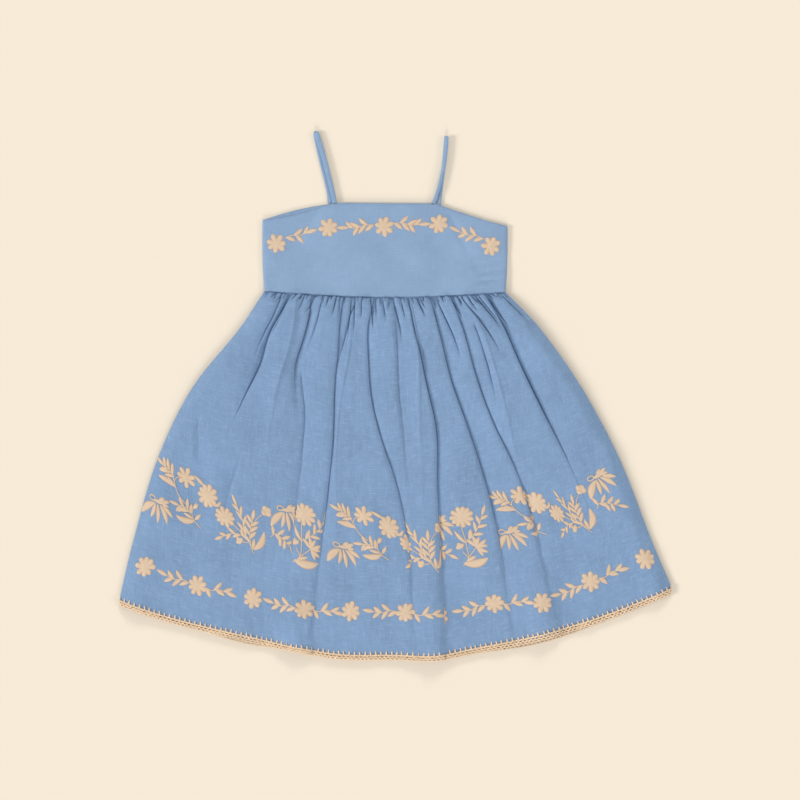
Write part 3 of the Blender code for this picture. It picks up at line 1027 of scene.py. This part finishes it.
def crochet(first, last, pitch, width, radius):
    """A band of two rows of loops, worked on below a hem from a thick chain."""
    loops = round(LOOPS_PER_STITCH * (last - first) / pitch)
    step = (last - first) / loops
    dice = np.random.default_rng(CROCHET_SEED)
    turn = np.linspace(0, 2 * np.pi, 13)
    fine = np.linspace(first, last, loops * 6 + 1)
    patches = []
    for phase in (0.0, np.pi):
        swing = 2 * np.pi * (fine - first) / step + phase
        rise = 0.0002 - 0.0005 * np.sin(swing) - 0.4 * radius
        lifted = radius * (1.3 + 0.5 * np.cos(swing))
        patches.append(thread_tube(np.stack((fine, rise, lifted), axis=1), radius))
    for row, (out, high) in enumerate(CROCHET_ROWS):
        for k in range(loops - row):
            middle = first + (k + 0.5 + 0.5 * row) * step
            wide = step * dice.uniform(0.40, 0.50)
            lean = dice.normal(0.0, 0.10) * step
            across = middle + wide * np.cos(turn) + lean * np.sin(turn)
            drop = width * (out - high * dice.uniform(0.85, 1.15) * np.sin(turn))
            lifted = radius * (1.25 + 0.55 * np.cos(turn + dice.uniform(0, 6)))
            patches.append(thread_tube(np.stack((across, -drop, lifted), axis=1), radius))
    return patches


def blanket_stitch(first, last, pitch, height, radius):
    """Upright stitches on a hem, each of two strands that part at its foot."""
    loops = max(1, round((last - first) / pitch))
    pitch = (last - first) / loops
    dice = np.random.default_rng(CROCHET_SEED + 1)
    patches = []
    for k in range(loops + 1):
        foot = first + k * pitch + dice.normal(0.0, 0.04) * pitch
        lean = dice.normal(0.0, 0.06) * pitch
        rise = np.linspace(0, 1, 6)
        top = height * dice.uniform(0.88, 1.12)
        lifted = radius * np.array((1.2, 1.1, 1.0, 0.9, 0.6, -0.9))
        for side_of in (-1, 1):
            spread = side_of * 0.5 * radius * (1.6 - 1.2 * rise)
            strand = np.stack((foot + lean * rise + spread, top * rise, lifted), axis=1)
            patches.append(thread_tube(strand, radius))
    return patches


# Finishes.


def add(tree, kind, inputs=None, **options):
    """A shader node with its options, and its inputs as values or links."""
    made = tree.nodes.new(kind)
    for name, value in options.items():
        setattr(made, name, value)
    for key, value in (inputs or {}).items():
        if isinstance(value, bpy.types.NodeSocket):
            tree.links.new(value, made.inputs[key])
        else:
            made.inputs[key].default_value = value
    return made


def blank(name):
    """A new material, its tree and its shader."""
    made = bpy.data.materials.new(name)
    made.use_nodes = True
    tree = made.node_tree
    return made, tree, tree.nodes["Principled BSDF"]


def linear(colour):
    """A colour from its sRGB values of 0 to 255."""
    return tuple(((c / 255 + 0.055) / 1.055) ** 2.4 for c in colour)


def toned(colour, *shares):
    """A colour with its parts at these shares, or all at one share, and no part above 1."""
    shares = shares if len(shares) == 3 else shares * 3
    return tuple(min(1.0, part * share) for part, share in zip(colour, shares))


def worked_out(tree, operation, *values):
    """The output of a math node."""
    return add(tree, "ShaderNodeMath", dict(enumerate(values)), operation=operation).outputs[0]


def ramp(tree, value, low, high):
    """0 where a value is low, and 1 where it is high."""
    ends = {"Value": value, "From Min": low, "From Max": high}
    return add(tree, "ShaderNodeMapRange", ends).outputs[0]


def noise(tree, coordinates, scale, detail):
    """Soft random values."""
    made = add(tree, "ShaderNodeTexNoise", {"Vector": coordinates, "Scale": scale, "Detail": detail})
    return made.outputs[0]


def mixed(tree, factor, first, second):
    """The first colour where the factor is 0, and the second where it is 1."""
    node = add(tree, "ShaderNodeMix", {0: factor}, data_type="RGBA")
    for index, value in ((6, first), (7, second)):
        if isinstance(value, bpy.types.NodeSocket):
            tree.links.new(value, node.inputs[index])
        else:
            node.inputs[index].default_value = (*value[:3], 1.0)
    return node.outputs[2]


def ridge_scale(spacing):
    """The scale at which a wave texture has its ridges this far apart."""
    return 2 * math.pi / (20 * spacing)


def streaks(tree, coordinates, scale, low=0.52, high=0.74):
    """Threads that swell here and there: noise stretched along one way and cut off low down."""
    stretched = add(tree, "ShaderNodeMapping", {"Vector": coordinates, "Scale": (*scale, 1.0)})
    return ramp(tree, noise(tree, stretched.outputs[0], 1.0, 2.0), low, high)


def linen(name, colour, slubs, relief):
    """Chambray: blue and pale threads, with slubs both ways and a fine plain weave."""
    made, tree, shader = blank(name)
    threads = add(tree, "ShaderNodeUVMap", uv_map="weave").outputs[0]
    weft = streaks(tree, threads, (70, 560))
    warp = streaks(tree, threads, (560, 60))
    dark = worked_out(tree, "ADD", streaks(tree, threads, (90, 640)), streaks(tree, threads, (640, 80)))
    paler = tuple(min(1.0, part * 1.30 + 0.045) for part in colour)
    surface = mixed(tree, noise(tree, threads, 17.0, 3.0), toned(colour, 0.82), toned(colour, 1.18))
    surface = mixed(tree, worked_out(tree, "MULTIPLY", weft, slubs), surface, paler)
    surface = mixed(tree, worked_out(tree, "MULTIPLY", warp, 0.8 * slubs), surface, paler)
    surface = mixed(tree, worked_out(tree, "MULTIPLY", dark, 0.7 * slubs), surface, toned(colour, 0.74))
    tree.links.new(surface, shader.inputs["Base Color"])
    weave = {"Vector": threads, "Scale": ridge_scale(LINEN_THREAD)}
    across = add(tree, "ShaderNodeTexWave", weave, bands_direction="X").outputs[1]
    down = add(tree, "ShaderNodeTexWave", weave, bands_direction="Y").outputs[1]
    plain = worked_out(tree, "ADD", across, down)
    slubbed = worked_out(tree, "ADD", weft, warp)
    height = worked_out(tree, "MULTIPLY_ADD", slubbed, 1.6, plain)
    bump = add(tree, "ShaderNodeBump", {"Height": height, "Strength": relief, "Distance": 0.00025})
    tree.links.new(bump.outputs[0], shader.inputs["Normal"])
    shader.inputs["Roughness"].default_value = 0.88
    shader.inputs["Specular IOR Level"].default_value = 0.25
    shader.inputs["Sheen Weight"].default_value = 0.12
    shader.inputs["Sheen Roughness"].default_value = 0.5
    return made


def yarn(name, colour, spacing, depth, roughness, sides=None):
    """Twisted thread: fine ridges across its own coordinate, with painted shade in the grooves between
    them, and small changes of colour.

    With sides, the radius of a round thread, painted shade makes its sides darker than its top.
    Without, the thread lies in satin stitch, and painted shade makes it darker along its edges.
    """
    made, tree, shader = blank(name)
    threads = add(tree, "ShaderNodeUVMap", uv_map="thread").outputs[0]
    twist = {"Vector": threads, "Scale": ridge_scale(spacing), "Distortion": 1.2, "Detail": 1.0}
    ridges = add(tree, "ShaderNodeTexWave", twist).outputs[1]
    place = add(tree, "ShaderNodeTexCoord").outputs["Object"]
    patchy = mixed(tree, noise(tree, place, 160.0, 2.0), toned(colour, 0.93), toned(colour, 1.10))
    # Painted shade: the colour is darker in the grooves between the ridges of the twist, by the share
    # given as depth.
    cut = add(tree, "ShaderNodeMapRange", {"Value": ridges, "To Min": 1.0 - depth}).outputs[0]
    surface = mixed(tree, cut, toned(colour, 0.72), patchy)
    if sides:
        # Painted shade: a round thread's sides, which turn away from the light, are coloured darker and
        # browner than its top.
        around = add(tree, "ShaderNodeSeparateXYZ", {"Vector": threads}).outputs[1]
        upright = worked_out(tree, "SINE", worked_out(tree, "MULTIPLY", around, 1 / sides))
        surface = mixed(tree, ramp(tree, upright, -0.2, 0.8), toned(colour, 0.42, 0.33, 0.25), surface)
    else:
        # Painted shade: the satin stitch is coloured darker and browner towards its edges, where the
        # raised thread turns from the light.
        painted_rim_shade = add(tree, "ShaderNodeUVMap", uv_map="painted_rim_shade").outputs[0]
        inward = add(tree, "ShaderNodeSeparateXYZ", {"Vector": painted_rim_shade}).outputs[0]
        surface = mixed(tree, ramp(tree, inward, 0.60, 1.0), surface, toned(colour, 0.66, 0.52, 0.44))
    tree.links.new(surface, shader.inputs["Base Color"])
    bump = add(tree, "ShaderNodeBump", {"Height": ridges, "Strength": 0.5, "Distance": 0.00018})
    tree.links.new(bump.outputs[0], shader.inputs["Normal"])
    shader.inputs["Roughness"].default_value = roughness
    shader.inputs["Specular IOR Level"].default_value = 0.35
    shader.inputs["Sheen Weight"].default_value = 0.1
    return made


# What a user would change.


class ClothSettings(bpy.types.PropertyGroup):
    skirt_blue: FloatVectorProperty(
        name="Skirt blue",
        description="Colour of the skirt's linen",
        subtype="COLOR",
        size=3,
        default=linear((122, 150, 184)),
    )
    bodice_blue: FloatVectorProperty(
        name="Bodice blue",
        description="Colour of the bodice and the straps",
        subtype="COLOR",
        size=3,
        default=linear((134, 160, 191)),
    )
    slubs: FloatProperty(
        name="Slubs",
        description="How strongly thick threads show in the linen",
        subtype="FACTOR",
        default=0.44,
        min=0.0,
        max=1.0,
    )
    relief: FloatProperty(
        name="Relief",
        description="How far the weave stands out",
        subtype="FACTOR",
        default=0.35,
        min=0.0,
        max=1.0,
    )


class ThreadSettings(bpy.types.PropertyGroup):
    cream: FloatVectorProperty(
        name="Cream",
        description="Colour of the embroidery thread",
        subtype="COLOR",
        size=3,
        default=linear((215, 189, 161)),
    )
    raised: FloatProperty(
        name="Raised",
        description="How high the satin stitch stands on the cloth",
        unit="LENGTH",
        default=0.00080,
    )
    stitch: FloatProperty(
        name="Stitch",
        description="From one thread of the satin stitch to the next",
        unit="LENGTH",
        default=0.00055,
    )


class EdgingSettings(bpy.types.PropertyGroup):
    cream: FloatVectorProperty(
        name="Cream",
        description="Colour of the crochet cotton",
        subtype="COLOR",
        size=3,
        default=linear((246, 216, 181)),
    )
    pitch: FloatProperty(
        name="Pitch",
        description="From one upright stitch to the next. The loops stand a little closer",
        unit="LENGTH",
        default=0.0065,
    )
    width: FloatProperty(
        name="Width",
        description="How far the crochet hangs below the hem",
        unit="LENGTH",
        default=0.0060,
    )
    stitch: FloatProperty(
        name="Stitch height",
        description="How far the upright stitches reach up the cloth",
        unit="LENGTH",
        default=0.0044,
    )
    yarn: FloatProperty(
        name="Yarn",
        description="Radius of the crochet cotton",
        unit="LENGTH",
        default=0.00052,
    )


class StageSettings(bpy.types.PropertyGroup):
    floor: FloatVectorProperty(
        name="Floor",
        description="Colour of the floor",
        subtype="COLOR",
        size=3,
        default=linear((232, 220, 202)),
    )
    key: FloatProperty(
        name="Lights",
        description="Strength of all the lights together, in watts a square metre",
        default=5.15,
    )
    sky: FloatProperty(
        name="Sky",
        description="Strength of the even light from all round",
        default=0.50,
    )


SETTINGS = {
    "sundress_cloth": ClothSettings,
    "sundress_thread": ThreadSettings,
    "sundress_edging": EdgingSettings,
    "sundress_stage": StageSettings,
}

def settings(name):
    """One group of the scene's settings."""
    return getattr(bpy.context.scene, name)


def kept(name, make, *choices):
    """The material of this name, made the first time that it is asked for."""
    return bpy.data.materials.get(name) or make(name, *choices)


def skirt_linen():
    """The skirt's cloth, with its slubs in full."""
    look = settings("sundress_cloth")
    return kept("skirt linen", linen, look.skirt_blue, look.slubs, look.relief)


def bodice_linen():
    """Finer than the skirt's, with fewer slubs."""
    look = settings("sundress_cloth")
    return kept("bodice linen", linen, look.bodice_blue, 0.4 * look.slubs, look.relief)


def panel(name, points, threads, material, thickness):
    """The cloth of one panel, in place of its solid."""
    piece = cloth_sheet(name + "_cloth", points, threads, material, thickness)
    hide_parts(name)
    return piece


class SUNDRESS_OT_skirt_back(bpy.types.Operator):
    """Makes the back panel of the skirt, plain and nearly flat on the table."""

    bl_idname = "sundress.skirt_back"
    bl_label = "Skirt back"

    def execute(self, context):
        points, s, t = back_skirt()
        piece = panel("skirt_back", points, np.dstack((s, t)), skirt_linen(), SKIRT_CLOTH)
        return {"FINISHED"}


class SUNDRESS_OT_skirt_front(bpy.types.Operator):
    """Makes the front panel of the skirt, gathered into the waist seam."""

    bl_idname = "sundress.skirt_front"
    bl_label = "Skirt front"

    def execute(self, context):
        points, s, t, _ = front_skirt()
        piece = panel("skirt_front", points, np.dstack((s, t)), skirt_linen(), SKIRT_TOP_CLOTH)
        return {"FINISHED"}


class SUNDRESS_OT_bodice(bpy.types.Operator):
    """Makes the front and the back of the bodice."""

    bl_idname = "sundress.bodice"
    bl_label = "Bodice"

    def execute(self, context):
        down, across = even_grid(BODICE_BACK_ROWS, BODICE_BACK_COLUMNS)
        x, y = bodice_plan(across, down, BACK_ARMHOLES_Y, BACK_ARMHOLE_SAGS)
        back_points, front_points = np.dstack((x, y, 0 * x)), front_bodice()
        back = panel("bodice_back", back_points, back_points[..., :2], bodice_linen(), BODICE_CLOTH)
        front = panel("bodice_front", front_points, front_points[..., :2], bodice_linen(), BODICE_CLOTH)
        return {"FINISHED"}


def strap_line(strap):
    """The middle of a strap, from the neck edge up over the shoulder and down the back."""
    low = strap.thickness / 2
    radius = low + SEAM_GAP / 2
    top = low + 2 * radius
    foot = BODICE_CLOTH * 1.5 + 2 * SEAM_GAP
    run = np.linspace(0, 1, STRAP_ROWS // 2)
    front = (*side(strap.front, run), foot + (top - foot) * smooth_step(0.0, 0.3, run))
    turn = np.linspace(0, np.pi, 12)[1:-1]
    before, after = strap.front[-1], strap.back[-1]
    fold = (
        before.x + (after.x - before.x) * turn / np.pi,
        before.y + (after.y - before.y) * turn / np.pi + radius * np.sin(turn),
        low + radius * (1 + np.cos(turn)),
    )
    back = (*side(strap.back, run[::-1]), np.full(len(run), low))
    return np.concatenate([np.stack(part, axis=1) for part in (front, fold, back)])


def strap_ways(line):
    """The ways across a strap and out from it, at each point of its line."""
    ahead = np.gradient(line, axis=0)
    ahead /= np.linalg.norm(ahead, axis=1, keepdims=True)
    aside = np.cross(ahead, np.array((0.0, 0.0, 1.0)))
    aside[np.linalg.norm(aside, axis=1) < 0.25] = (1.0, 0.0, 0.0)
    aside /= np.linalg.norm(aside, axis=1, keepdims=True)
    aside[len(aside) // 2 + 1 :] *= -1
    return aside, np.cross(aside, ahead)


def strap_section(strap):
    """A strap's oval section, a little squared off."""
    turn = np.linspace(0, 2 * np.pi, STRAP_ROUND + 1)
    wide, high = (np.sign(value) * np.abs(value) ** 0.8 for value in (np.cos(turn), np.sin(turn)))
    return wide * strap.width / 2, high * strap.thickness / 2


class SUNDRESS_OT_straps(bpy.types.Operator):
    """Makes the two straps, each one narrow folded band from the front to the back."""

    bl_idname = "sundress.straps"
    bl_label = "Straps"

    def execute(self, context):
        for name, strap in (("strap_left", STRAP_LEFT), ("strap_right", STRAP_RIGHT)):
            line = strap_line(strap)
            wide, high = strap_section(strap)
            around = lengths_along(np.stack((wide, high), axis=1))
            along = lengths_along(line)
            points = line[:, None, :] + ring_of(*strap_ways(line), wide, high)
            thread = np.dstack(np.broadcast_arrays(around[None, :], along[:, None]))
            piece = patchwork(name + "_cloth", [(points, thread)], bodice_linen(), ("weave",))
            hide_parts(name)
        return {"FINISHED"}


def twig(work, ends, bow):
    """A sprig that bows a little between its ends."""
    share = np.linspace(0, 1, 4)
    x = ends.x0 + (ends.x1 - ends.x0) * share
    y = ends.y0 + (ends.y1 - ends.y0) * share + bow * np.sin(2 * np.pi * share)
    first = 1 if ends.x1 > ends.x0 else -1
    work.sprig(
        tuple(zip(x, y)), ends.leaves, 14.0, 4.9, first, spread=41, start=0.04, last=0.74, paired=0.6
    )


def bodice_stitches(raised):
    """Five flowers along the neck edge, with a twig between each two."""
    work = Needlework(raised)
    for bloom in BODICE_BLOOMS:
        work.bloom(bloom.x, bloom.y, BLOOM_RADIUS, 7, bloom.turn)
    for ends in BODICE_BRANCHES:
        twig(work, ends, 1.2)
    seam = (0.0, front_bodice()[..., 1].min(), 0.0)
    return work.carried(bodice_map(), lambda place: place - seam)


def border_stitches(raised):
    """The row above the hem. Every second flower has a twig towards each of its neighbours."""
    patches = []
    for k, (x, y) in enumerate(BORDER_BLOOMS):
        work = Needlework(raised)
        work.bloom(x, y, BLOOM_RADIUS, 8, 10 + 17 * k, notch=0.66)
        if k % 2:
            before, after = BORDER_BLOOMS[k - 1].y - y, BORDER_BLOOMS[k + 1].y - y
            twig(work, Branch(x - 10, y + 0.2 * before, x - 39, y + 0.5 * before, 5), 1.5)
            twig(work, Branch(x + 10, y + 0.2 * after, x + 36, y + 0.5 * after, 4), -1.5)
        cloth = front_map(k == BORDER_TUCKED)
        patches += work.carried(cloth, lambda place: cloth.squared(place, x * MM, y * MM))
    return patches


def band_stitches(raised):
    """The wide band: repeats of four motifs, the last without its daisy tree."""
    patches = []
    for repeat in range(BAND_REPEATS):
        work = Needlework(raised)
        motifs = (branch, bouquet, lily_and_sprig, daisy_tree)
        for motif in motifs[:-1] if repeat == BAND_REPEATS - 1 else motifs:
            motif(work, BAND_START)
        patches += work.carried(front_map(True), lambda place: on_the_grain(place, repeat))
    return patches


class SUNDRESS_OT_embroidery(bpy.types.Operator):
    """Makes the satin stitch of the bodice, of the row above the hem and of the skirt's band."""

    bl_idname = "sundress.embroidery"
    bl_label = "Embroidery"

    def execute(self, context):
        look = settings("sundress_thread")
        material = kept("embroidery thread", yarn, look.cream, look.stitch, 0.35, 0.62)
        for name, stitches in (
            ("bodice_embroidery", bodice_stitches),
            ("border_embroidery", border_stitches),
            ("band_embroidery", band_stitches),
        ):
            piece = patchwork(name, stitches(look.raised), material, ("thread", "painted_rim_shade"))
        return {"FINISHED"}


class SUNDRESS_OT_hem_trim(bpy.types.Operator):
    """Makes the crocheted edging of both hems and the blanket stitch on the front one."""

    bl_idname = "sundress.hem_trim"
    bl_label = "Hem trim"

    def execute(self, context):
        look = settings("sundress_edging")
        material = kept("crochet cotton", yarn, look.cream, COTTON_TWIST, 0.20, 0.75, look.yarn)
        points, s, t = back_skirt()
        front, front_hem = front_map(True), front_skirt()[1][-1]
        for name, cloth, hem, rise in (
            ("hem_trim_front", front, front_hem, FRONT_TRIM_DROP),
            ("hem_trim_back", ClothMap(points, s, t), s[-1], BACK_TRIM_RISE),
        ):
            first, last = hem[0] + TRIM_INSET, hem[-1] - TRIM_INSET
            loops = crochet(first, last, look.pitch, look.width, look.yarn)
            patches = [(cloth.at(place + (0, 0, rise)), thread) for place, thread in loops]
            piece = patchwork(name + "_crochet", patches, material)
            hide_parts(name)
        first, last = front_hem[0] + STITCH_INSET, front_hem[-1] - STITCH_INSET
        stitches = blanket_stitch(first, last, look.pitch, look.stitch, 1.15 * look.yarn)
        shown = [
            (front.at(place), thread)
            for place, thread in stitches
            if front.open_at(place[0, :, 0].mean())
        ]
        piece = patchwork("blanket_stitch", shown, material)
        return {"FINISHED"}


class SUNDRESS_OT_stage(bpy.types.Operator):
    """Makes the floor, the lights and the camera."""

    bl_idname = "sundress.stage"
    bl_label = "Stage"

    def execute(self, context):
        look = settings("sundress_stage")
        self.floor(context.scene, look)
        for lamp in LAMPS:
            self.light(context.scene, lamp, look.key)
        self.sky(context.scene, look)
        self.camera(context.scene)
        return {"FINISHED"}

    @staticmethod
    def floor(scene, look):
        """A plain floor that reaches past every view's edge."""
        made, _, shader = blank("floor")
        shader.inputs["Base Color"].default_value = (*look.floor, 1.0)
        shader.inputs["Roughness"].default_value = 0.9
        shader.inputs["Specular IOR Level"].default_value = 0.1
        mesh = bpy.data.meshes.new("floor")
        around = ((-1, -1), (1, -1), (1, 1), (-1, 1))
        corners = [(x * FLOOR_REACH, y * FLOOR_REACH, FLOOR_LEVEL) for x, y in around]
        mesh.from_pydata(corners, [], [(0, 1, 2, 3)])
        mesh.materials.append(made)
        floor = bpy.data.objects.new("floor", mesh)
        scene.collection.objects.link(floor)

    @staticmethod
    def light(scene, lamp, strength):
        """A wide soft light from far off, which comes from its azimuth and height."""
        made = bpy.data.lights.new(lamp.name, "SUN")
        made.energy = lamp.share * strength
        made.angle = math.radians(LAMP_WIDTH)
        light = bpy.data.objects.new(lamp.name, made)
        light.rotation_euler = (math.radians(90 - lamp.height), 0.0, math.radians(lamp.azimuth))
        scene.collection.objects.link(light)

    @staticmethod
    def sky(scene, look):
        """Even white light from all round."""
        world = bpy.data.worlds.new("sky")
        world.use_nodes = True
        background = world.node_tree.nodes["Background"]
        background.inputs["Color"].default_value = (1.0, 1.0, 1.0, 1.0)
        background.inputs["Strength"].default_value = look.sky
        scene.world = world

    @staticmethod
    def camera(scene):
        """Looks straight down on the dress."""
        lens = bpy.data.cameras.new("camera")
        lens.lens, lens.sensor_width = CAMERA_LENS, CAMERA_SENSOR
        camera = bpy.data.objects.new("camera", lens)
        camera.location = CAMERA_PLACE
        scene.collection.objects.link(camera)
        scene.camera = camera
        scene.view_settings.view_transform = "Standard"


STEPS = (
    SUNDRESS_OT_skirt_back,
    SUNDRESS_OT_skirt_front,
    SUNDRESS_OT_bodice,
    SUNDRESS_OT_straps,
    SUNDRESS_OT_embroidery,
    SUNDRESS_OT_hem_trim,
    SUNDRESS_OT_stage,
)


class SUNDRESS_PT_panel(bpy.types.Panel):
    bl_idname = "SUNDRESS_PT_panel"
    bl_label = "Sundress"
    bl_space_type = "VIEW_3D"
    bl_region_type = "UI"
    bl_category = "Sundress"

    def draw(self, context):
        for name, group in SETTINGS.items():
            box = self.layout.box()
            for key in group.__annotations__:
                box.prop(getattr(context.scene, name), key)
        for step in STEPS:
            self.layout.operator(step.bl_idname)


def register():
    for group in SETTINGS.values():
        bpy.utils.register_class(group)
    for step in (*STEPS, SUNDRESS_PT_panel):
        bpy.utils.register_class(step)
    for name, group in SETTINGS.items():
        setattr(bpy.types.Scene, name, PointerProperty(type=group))


def unregister():
    for name in SETTINGS:
        delattr(bpy.types.Scene, name)
    for made in (SUNDRESS_PT_panel, *reversed(STEPS), *SETTINGS.values()):
        bpy.utils.unregister_class(made)


def main():
    register()
    for step in STEPS:
        package, name = step.bl_idname.split(".")
        getattr(getattr(bpy.ops, package), name)()


if __name__ == "__main__":
    main()
